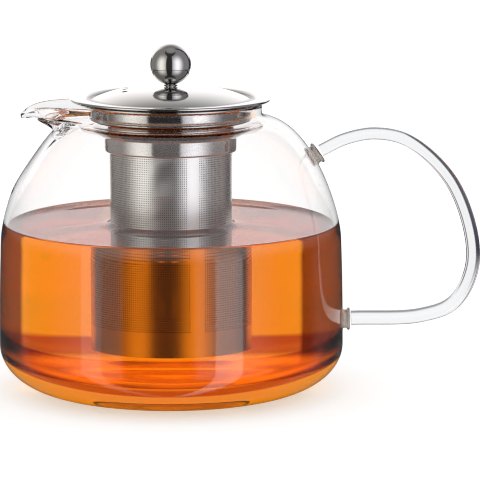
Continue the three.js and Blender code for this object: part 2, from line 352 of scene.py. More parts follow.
def clear_light(t, azimuth, rise, in_pot):
    """The colour seen through clear glass. The solid rod bends the cards in more strongly."""
    wide = t.math("ABSOLUTE", azimuth)
    level = t.math("MULTIPLY", t.step(rise, *CARD_TOP, 1.0, 0.0), t.step(rise, *CARD_FOOT))
    far_card = t.step(bump_of(t, wide, *FAR_CARD), *FAR_CARD_EDGE)
    far_card = t.math("MULTIPLY", far_card, level)
    near_card = t.step(bump_of(t, wide, *NEAR_CARD), *NEAR_CARD_EDGE)
    near_card = t.math("MULTIPLY", near_card, level)
    steep = t.step(t.math("ABSOLUTE", rise), *STEEP_RISE)
    streak_side = t.step(azimuth, *STREAK_END, 1.0, 0.0)
    streak_side = t.math("MULTIPLY", t.step(azimuth, *STREAK_START), streak_side)
    streak_level = t.step(rise, *STREAK_TOP, 1.0, 0.0)
    streak_level = t.math("MULTIPLY", t.step(rise, *STREAK_FOOT), streak_level)
    in_rod = t.math("MAXIMUM", far_card, t.math("MULTIPLY", near_card, NEAR_CARD_SHARE))
    in_rod = t.math("MAXIMUM", in_rod, t.math("MULTIPLY", steep, STEEP_SHARE))
    in_rod = t.math("MAXIMUM", in_rod, t.math("MULTIPLY", streak_side, streak_level))
    in_wall = t.math("MULTIPLY", far_card, CARD_SHARE_IN_POT)
    plain = t.mix(in_pot, PLAIN_IN_ROD, PLAIN_IN_POT)
    return t.mix(t.mix(in_pot, in_rod, in_wall), plain, CARD_COLOUR)


def glass_light(t, azimuth, rise, outside_air):
    """The colour that glass mirrors: narrow strips of light low down and white above."""
    strips = []
    for middle, edge, light in GLASS_STRIPS:
        away = t.math("ABSOLUTE", t.math("SUBTRACT", azimuth, middle))
        strips.append(t.step(away, *edge, light, STRIP_DARK))
    strip = t.math("MAXIMUM", *strips)
    strip = t.node("CombineColor", {0: strip, 1: strip, 2: strip}).outputs[0]
    on_glass = t.mix(t.step(rise, *SKY_RISE), strip, SKY_ON_GLASS)
    wide = t.math("ABSOLUTE", azimuth)
    in_wall = t.math("SUBTRACT", 1.0, outside_air)
    in_wall = t.math("MULTIPLY", in_wall, t.step(wide, *IN_WALL_SIDE, 1.0, 0.0))
    return t.mix(in_wall, on_glass, WHITE)


def studio_world():
    """A white room. What a ray sees of its lights and cards depends on what it has passed."""
    world = bpy.data.worlds.new("studio")
    scene.world = world
    t = Tree(world)
    way = t.node("SeparateXYZ", {0: t.node("TexCoord").outputs["Generated"]})
    x, y, z = way.outputs
    azimuth = t.math("MULTIPLY", t.math("ARCTAN2", x, y), 180 / math.pi)
    wide = t.math("ABSOLUTE", azimuth)
    rise = t.math("MULTIPLY", t.math("ARCSINE", z), 180 / math.pi)

    path = t.node("LightPath").outputs
    in_pot = t.math("GREATER_THAN", path["Transmission Depth"], INTO_POT)
    in_tea = t.math("GREATER_THAN", path["Transmission Depth"], INTO_TEA)
    in_air = t.math("LESS_THAN", path["Transmission Depth"], 0.5)
    by_mirror = t.math("GREATER_THAN", path["Glossy Depth"], 0.5)
    by_floor = t.math("GREATER_THAN", path["Diffuse Depth"], 0.5)

    steel = steel_light(t, azimuth, rise, in_pot)
    warm = t.mix(in_tea, WHITE, WARM)
    mirrored = t.node("VectorMath", {0: steel, 1: warm}, operation="MULTIPLY").outputs[0]
    upward = t.step(rise, *UPWARD)
    off_surface = t.math("MULTIPLY", in_pot, upward)
    off_surface = t.math("MULTIPLY", off_surface, t.step(wide, *SURFACE_SIDE, 1.0, 0.0))
    mirrored = t.mix(off_surface, mirrored, SURFACE_LIGHT)
    thrown_up = t.mix(t.step(rise, *THROWN_UP_RISE), THROWN_UP_LOW, THROWN_UP_HIGH)
    mirrored = t.mix(t.math("MULTIPLY", in_tea, upward), mirrored, thrown_up)
    off_glass = t.math("MULTIPLY", path["Is Singular Ray"], t.math("SUBTRACT", 1.0, in_pot))
    mirrored = t.mix(off_glass, mirrored, glass_light(t, azimuth, rise, in_air))

    table_edge = t.step(bump_of(t, rise, *TABLE_EDGE), *TABLE_EDGE_SOFT)
    through_tea = t.mix(table_edge, TEA_LIGHT, TABLE_EDGE_LIGHT)
    colour = t.mix(in_tea, clear_light(t, azimuth, rise, in_pot), through_tea)
    colour = t.mix(in_air, colour, WHITE)
    colour = t.mix(by_mirror, colour, mirrored)
    colour = t.mix(by_floor, colour, FLOOR_SKY)
    t.out("World", t.node("Background", {"Color": colour, "Strength": 1.0}).outputs[0])
    world.cycles.sampling_method = "NONE"


def floor_material():
    """Matt and faintly lit. Rays that the object has bent or mirrored pass it to the studio,
    except under the pot, where they see the light that the tea throws on the table."""
    material = bpy.data.materials.new("pale_floor")
    t = Tree(material)
    colour = t.mix(noise(t, 3.0), (0.86, 0.86, 0.86, 1), (0.88, 0.88, 0.88, 1))
    matt = t.node("BsdfDiffuse", {"Color": colour}).outputs[0]
    glow = t.node("Emission", {"Color": WHITE, "Strength": FLOOR_GLOW}).outputs[0]
    lit = t.node("AddShader", {0: matt, 1: glow}).outputs[0]
    path = t.node("LightPath").outputs
    bent = t.math("ADD", path["Transmission Depth"], path["Glossy Depth"])
    bent = t.math("GREATER_THAN", bent, 0.5)
    once = t.math("ABSOLUTE", t.math("SUBTRACT", path["Glossy Depth"], 1.0))
    under = t.mix(t.math("LESS_THAN", once, 0.5), UNDER_POT_PLAIN, UNDER_POT_MIRRORED)
    again = t.math("GREATER_THAN", path["Glossy Depth"], 1.5)
    under = t.mix(again, under, UNDER_POT_AGAIN)
    under = t.node("Emission", {"Color": under}).outputs[0]
    place = t.node("TexCoord").outputs["Object"]
    away = t.node("VectorMath", {0: place}, operation="LENGTH").outputs["Value"]
    outside = t.math("GREATER_THAN", away, UNDER_POT_R)
    clear = t.node("BsdfTransparent").outputs[0]
    passed = t.node("MixShader", {0: outside, 1: under, 2: clear}).outputs[0]
    t.out("Material", t.node("MixShader", {0: bent, 1: lit, 2: passed}).outputs[0])
    material.cycles.emission_sampling = "NONE"
    return material


studio_world()
floor_mesh = bpy.data.meshes.new("floor")
floor_corners = [
    (side * FLOOR_REACH, depth * FLOOR_REACH, FLOOR_Z)
    for side, depth in ((-1, -1), (1, -1), (1, 1), (-1, 1))
]
floor_mesh.from_pydata(floor_corners, [], [(0, 1, 2, 3)])
floor_mesh.materials.append(floor_material())
floor = bpy.data.objects.new("floor", floor_mesh)
bpy.context.collection.objects.link(floor)


# Materials ---------------------------------------------------------------------------------
GLASS_IOR = 1.47
GLASS_TINT_SCALE = 30.0
GLASS_WAVE_SCALE = 45.0
GLASS_WAVE_DEPTH = 0.001


def glass_material(name, waviness, pale, deep):
    material = bpy.data.materials.new(name)
    t = Tree(material)
    tint = t.mix(noise(t, GLASS_TINT_SCALE), (*deep, 1), (*pale, 1))
    wave = noise(t, GLASS_WAVE_SCALE, detail=1.0)
    waves = t.node(
        "Bump", {"Strength": waviness, "Distance": GLASS_WAVE_DEPTH, "Height": wave}
    )
    shader = t.node(
        "BsdfPrincipled",
        {
            "Base Color": tint,
            "Roughness": 0.0,
            "IOR": GLASS_IOR,
            "Transmission Weight": 1.0,
            "Normal": waves.outputs[0],
        },
    )
    t.out("Material", shader.outputs[0])
    return material


# Distances in the tea's skin are in metres, and a pair says where a soft change starts and ends.
TEA_IOR = 1.333
TEA_DENSITY = 60.0
TEA_COLOUR = (0.968, 0.812, 0.27, 1)
TEA_PALE = (0.99, 0.99, 0.99, 1)
EDGE_TURN = (-0.03, 0.03)
EDGE_LEFT = 0.196
EDGE_RIGHT = 0.143
EDGE_SOFTNESS = 0.014
EDGE_SLOPE = (0.5, 0.75)
EDGE_FOOT = (0.017, 0.027)
PAINTED_EDGE_SHADE = (0.1, 0.03, 0.028, 1)
BAND_FOOT = (0.006, 0.009)
BAND_TOP = (0.0145, 0.0165)
BAND_DEPTH = (0.0, 0.02)
PAINTED_BAND_SHADE = (0.4, 0.1, 0.4, 1)
TEA_GLOW = (0.42, 0.19, 0.008, 1)
GLOW_TOP = (0.005, 0.009)
GLOW_DEPTH = (-0.02, 0.01)
GLOW_IN_FRONT = 0.25
SWIRL_SCALE = 38.0
SWIRL_STRETCH = (1, 2.4, 1)
SWIRL_RANGE = (0.35, 0.65)
SWIRL_LIGHT = (0.55, 1.25)


def tea_material():
    """Tea that absorbs light on its way. Its skin also carries painted shade: darkened edges that
    stand in for the dark cards beside the pot, and a red band at the back of its foot. A faint
    painted glow low in the tea stands in for light from the table below."""
    material = bpy.data.materials.new("black_tea")
    t = Tree(material)
    tint = t.mix(noise(t, 20.0), TEA_PALE, WHITE)
    facing = t.node("LayerWeight", {"Blend": 0.5}).outputs["Facing"]
    place = t.node("TexCoord").outputs["Object"]
    across, along, height = t.node("SeparateXYZ", {0: place}).outputs
    # Painted shade: the skin darkens towards its edges, where the dark cards beside the pot would
    # show through the glass.
    start = t.step(across, *EDGE_TURN, EDGE_LEFT, EDGE_RIGHT)
    past = t.math("SUBTRACT", facing, start)
    upright = t.node("CombineXYZ", {"Z": 1.0}).outputs[0]
    level = t.node("LayerWeight", {"Blend": 0.5, "Normal": upright}).outputs["Facing"]
    at_edge = t.math("MULTIPLY", t.step(past, 0.0, EDGE_SOFTNESS), t.step(level, *EDGE_SLOPE))
    at_edge = t.math("MULTIPLY", at_edge, t.step(height, *EDGE_FOOT))
    tint = t.mix(at_edge, tint, PAINTED_EDGE_SHADE)
    # Painted shade: a deeper red band low at the back of the tea, standing in for the darker light
    # path there.
    shade_band = t.math("MULTIPLY", t.step(height, *BAND_FOOT), t.step(height, *BAND_TOP, 1.0, 0.0))
    shade_band = t.math("MULTIPLY", shade_band, t.step(along, *BAND_DEPTH))
    tint = t.mix(shade_band, tint, PAINTED_BAND_SHADE)
    shader = t.node(
        "BsdfPrincipled",
        {"Base Color": tint, "Roughness": 0.0, "IOR": TEA_IOR, "Transmission Weight": 1.0},
    )
    body = t.node("VolumeAbsorption", {"Color": TEA_COLOUR, "Density": TEA_DENSITY})
    cloud = noise(t, SWIRL_SCALE, SWIRL_STRETCH, detail=5.0, roughness=0.65)
    swirl = t.step(cloud, *SWIRL_RANGE, *SWIRL_LIGHT)
    low = t.step(height, *GLOW_TOP, 1.0, 0.0)
    low = t.math("MULTIPLY", low, t.step(along, *GLOW_DEPTH, GLOW_IN_FRONT, 1.0))
    glow = t.node("Emission", {"Color": TEA_GLOW, "Strength": t.math("MULTIPLY", low, swirl)})
    lit = t.node("AddShader", {0: shader.outputs[0], 1: glow.outputs[0]})
    t.out("Material", lit.outputs[0], body.outputs[0])
    return material


SHADE_SOFTNESS = 0.0006
GRAIN_RANGE = (0.3, 0.7)
GRAIN_DEPTH = 0.0002
CLOUD_SCALE = 25.0


def steel_material(name, light, dark, rough, scale, stretch, bump, shade=None, inside=None):
    """Steel with a grain that varies its roughness. shade darkens a stretch of heights, within a
    radius, to a colour. inside is the painted shade colour of the faces that mark_inside has
    marked."""
    material = bpy.data.materials.new(name)
    t = Tree(material)
    grain = noise(t, scale, stretch, detail=4.0, roughness=0.6)
    colour = t.mix(noise(t, CLOUD_SCALE, detail=2.0), (*dark, 1), (*light, 1))
    if shade:
        low, high, reach, deep = shade
        place = t.node("TexCoord").outputs["Object"]
        across, along, height = t.node("SeparateXYZ", {0: place}).outputs
        squares = t.math("ADD", t.math("POWER", across, 2), t.math("POWER", along, 2))
        radius = t.math("SQRT", squares)
        zone = t.step(height, low - SHADE_SOFTNESS, low + SHADE_SOFTNESS)
        for value, end in ((height, high), (radius, reach)):
            within = t.step(value, end - SHADE_SOFTNESS, end + SHADE_SOFTNESS, 1.0, 0.0)
            zone = t.math("MULTIPLY", zone, within)
        colour = t.mix(zone, colour, (*deep, 1))
    # Painted shade on the faces that look into the pot.
    if inside:
        inner = t.node("Attribute", attribute_name="inner").outputs["Fac"]
        colour = t.mix(inner, colour, (*inside, 1))
    roughness = t.step(grain, *GRAIN_RANGE, *rough)
    relief = t.node("Bump", {"Strength": bump, "Distance": GRAIN_DEPTH, "Height": grain})
    shader = t.node(
        "BsdfPrincipled",
        {
            "Base Color": colour,
            "Metallic": 1.0,
            "Roughness": roughness,
            "Normal": relief.outputs[0],
        },
    )
    t.out("Material", shader.outputs[0])
    return material


GLASS_PALE = (0.995, 0.998, 0.998)
GLASS_DEEP = (0.985, 0.992, 0.992)
BODY_GLASS = glass_material("blown_glass", 0.02, GLASS_PALE, GLASS_DEEP)
ROD_GLASS = glass_material("drawn_glass", 0.05, GLASS_PALE, GLASS_DEEP)
WELD_GLASS = glass_material("fused_glass", 0.15, (0.5, 0.47, 0.44), (0.3, 0.27, 0.24))
TEA = tea_material()
FINE = {"scale": 900.0, "stretch": (1, 1, 1), "bump": 0.02}
BRIGHT = {"light": (0.68, 0.67, 0.66), "dark": (0.64, 0.63, 0.62), "rough": (0.04, 0.09)}
INSIDE_SHADE = (0.1, 0.095, 0.09)
CREASE_SHADE = (0.126, 0.1276, 0.038, (0.07, 0.065, 0.065))
TAPER_SHADE = (0.1125, 0.1175, 0.06, (0.08, 0.055, 0.045))
POLISHED = steel_material("polished_steel", **BRIGHT, **FINE)
CREASED = steel_material("creased_steel", **BRIGHT, **FINE, shade=CREASE_SHADE, inside=INSIDE_SHADE)
# Dark steel for the knob's neck: painted shade where the ball meets the lid.
NECK_SHADE_STEEL = steel_material("neck_shade_steel", (0.2, 0.2, 0.2), (0.15, 0.15, 0.15), (0.1, 0.15), **FINE)
COLLAR = steel_material(
    "pressed_steel", (0.56, 0.55, 0.54), (0.52, 0.51, 0.5), (0.07, 0.12), **FINE, shade=TAPER_SHADE
)
SPUN = steel_material(
    "spun_steel",
    (0.7, 0.69, 0.67),
    (0.62, 0.61, 0.59),
    (0.1, 0.2),
    160.0,
    (1, 1, 30),
    0.05,
    inside=INSIDE_SHADE,
)
WOVEN = steel_material(
    "perforated_steel",
    (0.7, 0.69, 0.67),
    (0.66, 0.65, 0.63),
    (0.275, 0.285),
    500.0,
    (1, 1, 12),
    0.0,
    inside=INSIDE_SHADE,
)


# Mesh helpers ------------------------------------------------------------------------------
def make_piece(name, vertices, faces, material, body, stands_for, sharp=35):
    """A mesh piece from points in millimetres, smooth except where it turns sharply."""
    mesh = bpy.data.meshes.new(name)
    mesh.from_pydata([tuple(v) for v in np.asarray(vertices) * MM], [], faces)
    mesh.materials.append(material)
    mesh.shade_smooth()
    mesh.set_sharp_from_angle(angle=math.radians(sharp))
    mesh.update()
    made = bpy.data.objects.new(name, mesh)
    bpy.context.collection.objects.link(made)
    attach(made, body)
    if stands_for:
        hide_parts(*stands_for)
    return made


def mark_inside(piece, faces_in):
    """Marks the faces that look into the pot, which get a darker colour as painted shade, from
    their place and normal.
    """
    mesh = piece.data
    inner = mesh.attributes.new("inner", "FLOAT", "FACE")
    inner.data.foreach_set("value", [float(faces_in(f.center, f.normal)) for f in mesh.polygons])


def lathe(profile, sides, ring=False):
    """Turns an outline of (radius, height) about the axis. A ring's outline closes on itself."""
    profile = list(profile)
    angles = [2 * math.pi * k / sides for k in range(sides)]
    vertices, rows = [], []
    for radius, height in profile:
        if radius < 1e-6:
            rows.append([len(vertices)] * sides)
            vertices.append((0.0, 0.0, height))
        else:
            rows.append(list(range(len(vertices), len(vertices) + sides)))
            vertices += [(radius * math.cos(a), radius * math.sin(a), height) for a in angles]
    if ring:
        rows.append(rows[0])
    faces = []
    for low, high in zip(rows, rows[1:]):
        for k in range(sides):
            m = (k + 1) % sides
            corners = [low[k], low[m], high[m], high[k]]
            face = [c for i, c in enumerate(corners) if c not in corners[:i]]
            if len(face) > 2:
                faces.append(face)
    return vertices, faces


def softened(points, reach, steps=5, closed=False):
    """The outline with each corner rounded off, starting at most reach away from it."""
    points = [np.array(p, float) for p in points]
    count = len(points)
    out = []
    for i, here in enumerate(points):
        if not closed and i in (0, count - 1):
            out.append(tuple(here))
            continue
        before, after = points[i - 1], points[(i + 1) % count]
        for toward in (before, after):
            if np.linalg.norm(toward - here) < 1e-9:
                out.append(tuple(here))
                break
        else:
            back, ahead = before - here, after - here
            start = here + back * min(reach / np.linalg.norm(back), 0.45)
            end = here + ahead * min(reach / np.linalg.norm(ahead), 0.45)
            for s in np.linspace(0, 1, steps):
                out.append(tuple((1 - s) ** 2 * start + 2 * s * (1 - s) * here + s * s * end))
    return out


def beside(outline, distance):
    """The outline moved to the right of its direction of travel."""
    line = np.array(outline, float)
    along = np.gradient(line, axis=0)
    along /= np.linalg.norm(along, axis=1)[:, None]
    return np.c_[line[:, 0] + along[:, 1] * distance, line[:, 1] - along[:, 0] * distance]


def sheet(outline, thickness):
    """The closed outline of a sheet that lies to the left of the outline it follows."""
    return [*map(tuple, outline), *map(tuple, beside(outline, -thickness)[::-1])]


def bezier(points, steps):
    """A Bezier curve of any order, as steps + 1 points."""
    points = np.array(points, float)
    order = len(points) - 1
    out = []
    for s in np.linspace(0, 1, steps + 1):
        share = [math.comb(order, k) * s**k * (1 - s) ** (order - k) for k in range(order + 1)]
        out.append(tuple(np.array(share) @ points))
    return out


def arc(centre, radius, start, end, steps):
    """Part of a circle between two angles in degrees, as steps + 1 points."""
    turn = np.radians(np.linspace(start, end, steps + 1))
    return [(centre[0] + radius * math.cos(a), centre[1] + radius * math.sin(a)) for a in turn]


def smoothstep(value, low, high):
    """A smooth change from 0 to 1 as value goes from low to high."""
    s = np.clip((value - low) / (high - low), 0, 1)
    return s * s * (3 - 2 * s)


# Glass body --------------------------------------------------------------------------------
BODY_SIDES = 288
WALL_FOOT = (BODY_R, BASE_CORNER_HEIGHT)
WALL_TOP = (74.1, 67)
SHOULDER_TOP = (42.6, 119)
NECK_FOOT = (NECK_R, 121.8)


def body_outline():
    """Outer face from the middle of the base to the mouth."""
    corner = [
        (
            BASE_FLAT_R + (BODY_R - BASE_FLAT_R) * math.cos(a),
            BASE_CORNER_HEIGHT * (1 + math.sin(a)),
        )
        for a in np.radians(np.linspace(-90, 0, 33))
    ]
    flat = [(r, 0.0) for r in np.linspace(0, BASE_FLAT_R, 8)]
    wall = bezier([WALL_FOOT, (BODY_R, 36), (74.72, 52), WALL_TOP], 24)
    shoulder = bezier([WALL_TOP, (73.75, 79.3), (61.3, 116.7), SHOULDER_TOP], 60)
    neck = bezier([SHOULDER_TOP, (39.7, 119.5), NECK_FOOT], 10)
    mouth = [(NECK_R, z) for z in np.linspace(NECK_FOOT[1], MOUTH_Z - GLASS_WALL / 2, 5)]
    return flat + corner[1:] + wall[1:] + shoulder[1:] + neck[1:] + mouth[1:]


def draw_spout(vertices):
    """Draws the spout out of the mouth towards -X, with a slight waist under it."""
    v = np.array(vertices, float)
    across = np.abs(v[:, 1]) / SPOUT_HALF_WIDTH
    inside = (v[:, 0] < 0) & (across < 1)
    share = np.where(inside, np.clip(1 - across**2, 0, 1) ** SPOUT_FULLNESS, 0)
    height = v[:, 2].copy()
    rise = smoothstep(height, SPOUT_FOOT_Z, SPOUT_FULL_Z)
    to_waist = np.minimum(np.abs(height - WAIST_Z) / WAIST_HALF_HEIGHT, 1)
    waist = WAIST_DEPTH * (1 - to_waist**2) ** 2
    dip = SPOUT_DIP * share**DIP_SHARPNESS * smoothstep(height, DIP_FOOT_Z, DIP_FULL_Z)
    v[:, 0] += share * (waist - SPOUT_REACH * rise)
    v[:, 2] -= dip
    return v


outer = body_outline()
inner = beside(outer, -GLASS_WALL)
inner[0, 0] = 0
rim = arc((NECK_R - GLASS_WALL / 2, MOUTH_Z - GLASS_WALL / 2), GLASS_WALL / 2, 0, 180, 10)
body_profile = [*outer, *rim[1:-1], *map(tuple, inner[::-1])]
vertices, faces = lathe(body_profile, BODY_SIDES)
make_piece(
    "blown_body",
    draw_spout(vertices),
    faces,
    BODY_GLASS,
    "pot",
    ["glass_body"],
    sharp=60,
)


# Tea ---------------------------------------------------------------------------------------
TEA_SIDES = 256
TEA_EDGE_ROUND = 0.3
TEA_EDGE_INSET = 0.05
NEAR_WALL = 8


def tea_profile():
    """The tea's skin runs inside the glass wall, so that no film of air shows between them."""
    skin = beside(outer, -GLASS_WALL / 2)
    skin[0, 0] = 0
    below = [tuple(p) for p in skin if p[1] < TEA_Z + MENISCUS - TEA_EDGE_ROUND]
    edge = below[-1][0]
    wet_r = edge - GLASS_WALL / 2
    basket = (BASKET_FOOT_R + BASKET_TOP_R) / 2 - MESH_SHEET / 2

    def height(r):
        climb = math.exp(-max(wet_r - r, 0) / MENISCUS_REACH)
        climb += math.exp(-max(abs(r - basket) - MESH_SHEET / 2, 0) / MENISCUS_REACH)
        return TEA_Z + MENISCUS * min(climb, 1)

    radii = np.unique(
        np.concatenate(
            [
                np.linspace(0, basket - NEAR_WALL, 12),
                np.linspace(basket - NEAR_WALL, basket + NEAR_WALL, 60),
                np.linspace(basket + NEAR_WALL, wet_r - NEAR_WALL, 24),
                np.linspace(wet_r - NEAR_WALL, wet_r, 36),
            ]
        )
    )
    surface = [(r, height(r)) for r in radii[::-1]]
    return below + [(edge - TEA_EDGE_INSET, TEA_Z + MENISCUS)] + surface


vertices, faces = lathe(tea_profile(), TEA_SIDES)
make_piece("tea", vertices, faces, TEA, "pot", [], sharp=50)


# Handle ------------------------------------------------------------------------------------
def rounded_route(points, steps):
    """A centripetal Catmull-Rom curve through the points, with the same steps between each."""
    p = [np.array(q, float) for q in points]
    p = [2 * p[0] - p[1], *p, 2 * p[-1] - p[-2]]
    out = []
    for a, b, c, d in zip(p, p[1:], p[2:], p[3:]):
        gaps = [max(np.linalg.norm(q - r), 1e-6) ** 0.5 for q, r in ((b, a), (c, b), (d, c))]
        first = (b - a) / gaps[0] - (c - a) / (gaps[0] + gaps[1]) + (c - b) / gaps[1]
        last = (c - b) / gaps[1] - (d - b) / (gaps[1] + gaps[2]) + (d - c) / gaps[2]
        first, last = first * gaps[1], last * gaps[1]
        for s in np.arange(steps) / steps:
            out.append(
                (2 * s**3 - 3 * s**2 + 1) * b
                + (s**3 - 2 * s**2 + s) * first
                + (3 * s**2 - 2 * s**3) * c
                + (s**3 - s**2) * last
            )
    return np.array([*out, p[-2]])


ROD_SIDES = 40
ROD_STEPS = 24
ROD_SWELL = (0.1, 0.75)


def rod():
    """The solid rod along its route, a little thicker towards its lower end."""
    route = rounded_route(ROD_ROUTE, ROD_STEPS)
    along = np.gradient(route, axis=0)
    along /= np.linalg.norm(along, axis=1)[:, None]
    length = np.r_[0, np.cumsum(np.linalg.norm(np.diff(route, axis=0), axis=1))]
    share = length / length[-1]
    radius = ROD_UPPER_R + (ROD_LOWER_R - ROD_UPPER_R) * smoothstep(share, *ROD_SWELL)
    vertices = []
    for (x, z), (ax, az), r in zip(route, along, radius):
        for k in range(ROD_SIDES):
            turn = 2 * math.pi * k / ROD_SIDES
            out, across = r * math.cos(turn), r * math.sin(turn)
            vertices.append((x - az * out, across, z + ax * out))
    rings = len(route)
    faces = []
    for i in range(rings - 1):
        for k in range(ROD_SIDES):
            m = (k + 1) % ROD_SIDES
            a, b = i * ROD_SIDES, (i + 1) * ROD_SIDES
            faces.append((a + k, b + k, b + m, a + m))
    faces.append(tuple(range(ROD_SIDES)))
    faces.append(tuple(reversed(range((rings - 1) * ROD_SIDES, rings * ROD_SIDES))))
    return vertices, faces


vertices, faces = rod()
make_piece("handle_rod", vertices, faces, ROD_GLASS, "pot", ["glass_handle"])

WELD_ROOT = -6.0
WELD_STUB = ((4.6, WELD_ROOT), (4.25, -2.4), (4.0, -1.5), (4.05, -0.9))
WELD_FACE_RADII = (3.6, 3.1, 2.4, 1.2, 0.0)
WELD_BURIED = -1
WELD_STAND_OFF = 0.06
WELD_SIDES = 48


def glass_radius(z):
    wall = np.array([p for p in outer if p[0] > NECK_R + 3])
    wall = wall[wall[:, 1].argsort()]
    return np.interp(z, wall[:, 1], wall[:, 0])


def weld(x, z, tilt):
    """A flared disc on a waisted stub whose root is pushed out until it follows the wall."""
    lean = math.radians(tilt)
    out = np.array([math.cos(lean), 0, math.sin(lean)])
    up = np.array([-math.sin(lean), 0, math.cos(lean)])
    side = np.array([0, 1.0, 0])
    edge = arc((WELD_DISC_R - WELD_EDGE_R, 0), WELD_EDGE_R, -90, 90, 10)
    face = [(r, WELD_EDGE_R) for r in WELD_FACE_RADII]
    profile = [(0.0, WELD_ROOT), (2.4, WELD_ROOT), *WELD_STUB, *edge, *face]
    flat, faces = lathe(profile, WELD_SIDES)
    vertices = []
    for a, b, h in flat:
        p = np.array([x, 0, z]) + side * a + up * b + out * h
        if h < WELD_BURIED:
            step = 0.0
            for _ in range(60):
                q = p + out * step
                short = glass_radius(q[2]) + WELD_STAND_OFF - math.hypot(q[0], q[1])
                step += short * 0.7
            p = p + out * max(step, 0.0)
        vertices.append(tuple(p))
    return vertices, faces


for name, node, place in (
    ("upper_weld", "handle_upper_joint", UPPER_WELD),
    ("lower_weld", "handle_lower_joint", LOWER_WELD),
):
    vertices, faces = weld(*place)
    make_piece(name, vertices, faces, WELD_GLASS, "pot", [node])


# Infuser -----------------------------------------------------------------------------------
COLLAR_SIDES = 192
COLLAR_ROUND = 0.9
BASKET_PLAY = 0.12


def collar():
    """The outline of the flange, collar, taper and throat, as one pressed sheet."""
    half = PRESSED_BEND / 2
    line = [
        (BASKET_TOP_R + BASKET_PLAY, THROAT_FOOT_Z),
        (THROAT_R - half, THROAT_FOOT_Z),
        (THROAT_R, THROAT_FOOT_Z + PRESSED_BEND),
        (THROAT_R, THROAT_TOP_Z - half),
        (THROAT_R + PRESSED_BEND, THROAT_TOP_Z + half),
        (COLLAR_R - PRESSED_BEND, COLLAR_FOOT_Z - half),
        (COLLAR_R, COLLAR_FOOT_Z + PRESSED_BEND),
        (COLLAR_R, FLANGE_Z - SHEET - PRESSED_BEND),
        (COLLAR_R + PRESSED_BEND, FLANGE_Z - SHEET),
        (FLANGE_R, FLANGE_Z - SHEET),
    ]
    return sheet(softened(line, COLLAR_ROUND), SHEET)


vertices, faces = lathe(collar(), COLLAR_SIDES, ring=True)
make_piece(
    "pressed_collar", vertices, faces, COLLAR, "infuser", ["infuser_collar"]
)


def perforated(columns, turn, start, levels, place, holed, to_centre=False):
    """A thin sheet over a grid of cells, with a six-sided hole in the cells that holed picks.

    place(v) gives the outer and the inner (radius, height) and the outward (radial, upward)
    at the distance v along the sheet's outline. Each column spans the angle turn."""
    points, normals, faces, face_kind = [], [], [], []

    def add(angle, v):
        """Adds the outer and inner point there, and gives the outer one's number."""
        out_of, up = place(v)[2]
        for radius, height in place(v)[:2]:
            points.append((radius * math.cos(angle), radius * math.sin(angle), height))
            normals.append((out_of * math.cos(angle), out_of * math.sin(angle), up))
        return len(points) - 2

    def both_sides(outer_face):
        faces.append(outer_face)
        faces.append(tuple(v + 1 for v in reversed(outer_face)))
        face_kind.extend((1, -1))

    corner = [[add(start + turn * i, v) for i in range(columns + 1)] for v in levels]
    for j in range(len(levels) - 1):
        for i in range(columns):
            a, b = corner[j][i], corner[j][i + 1]
            d, c = corner[j + 1][i], corner[j + 1][i + 1]
            if not holed(i, j):
                both_sides((a, b, c, d))
                continue
            middle = start + turn * (i + 0.5)
            along = (levels[j] + levels[j + 1]) / 2
            around = place(along)[0][0]
            hole = []
            for k in range(6):
                bearing = math.radians(60 * k)
                angle = middle + HOLE_R * math.cos(bearing) / around
                hole.append(add(angle, along + HOLE_R * math.sin(bearing)))
            east, ne, nw, west, sw, se = hole
            for face in (
                (a, b, se, sw),
                (b, east, se),
                (b, c, east),
                (c, ne, east),
                (c, d, nw, ne),
                (d, west, nw),
                (d, a, west),
                (a, sw, west),
            ):
                both_sides(face)
            for p, q in zip(hole, hole[1:] + hole[:1]):
                faces.append((p, q, q + 1, p + 1))
                face_kind.append(0)
    if to_centre:
        centre = add(0.0, 0.0)
        for a, b in zip(corner[0], corner[0][1:]):
            both_sides((centre, b, a))
    else:
        for a, b in zip(corner[0], corner[0][1:]):
            faces.append((a, a + 1, b + 1, b))
            face_kind.append(0)
    for a, b in zip(corner[-1], corner[-1][1:]):
        faces.append((a, b, b + 1, a + 1))
        face_kind.append(0)
    return points, normals, faces, face_kind


def perforated_piece(name, sheet_parts, stands_for):
    """The piece made from such a sheet, with its round form kept in the shading normals."""
    points, normals, faces, face_kind = sheet_parts
    mesh = bpy.data.meshes.new(name)
    mesh.from_pydata([tuple(p) for p in np.array(points) * MM], [], faces)
    mesh.materials.append(WOVEN)
    mesh.shade_smooth()
    mesh.update()
    face_normals = np.zeros(len(mesh.polygons) * 3)
    mesh.polygons.foreach_get("normal", face_normals)
    face_normals = face_normals.reshape(-1, 3)
    sizes = np.array([len(f) for f in faces])
    corner_point = np.concatenate([np.array(f) for f in faces])
    kind = np.repeat(np.array(face_kind), sizes)[:, None]
    outward = np.array(normals)[corner_point] * kind
    flat = np.repeat(face_normals, sizes, axis=0)
    mesh.normals_split_custom_set(np.where(kind == 0, flat, outward))
    # Inner faces and hole walls are marked for the painted shade colour.
    inner = mesh.attributes.new("inner", "FLOAT", "FACE")
    inner.data.foreach_set("value", np.array(face_kind, float) < 1)
    made = bpy.data.objects.new(name, mesh)
    bpy.context.collection.objects.link(made)
    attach(made, "infuser")
    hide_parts(stands_for)


def wall_place(z):
    share = (z - BASKET_FOOT_Z) / (BASKET_TOP_Z - BASKET_FOOT_Z)
    r = BASKET_FOOT_R + (BASKET_TOP_R - BASKET_FOOT_R) * share
    return (r, z), (r - MESH_SHEET, z), (1.0, 0.0)


HOLE_TURN = 2 * math.pi / HOLE_COLUMNS
PLAIN_LOW = list(np.linspace(BASKET_FOOT_Z, HOLES_FOOT_Z, 6)[:-1])
PLAIN_HIGH = list(np.linspace(HOLES_TOP_Z, BASKET_TOP_Z, 4)[1:])
WALL_LEVELS = PLAIN_LOW + list(np.linspace(HOLES_FOOT_Z, HOLES_TOP_Z, HOLE_ROWS + 1)) + PLAIN_HIGH
SECTOR_COLUMNS = HOLE_COLUMNS // SECTORS

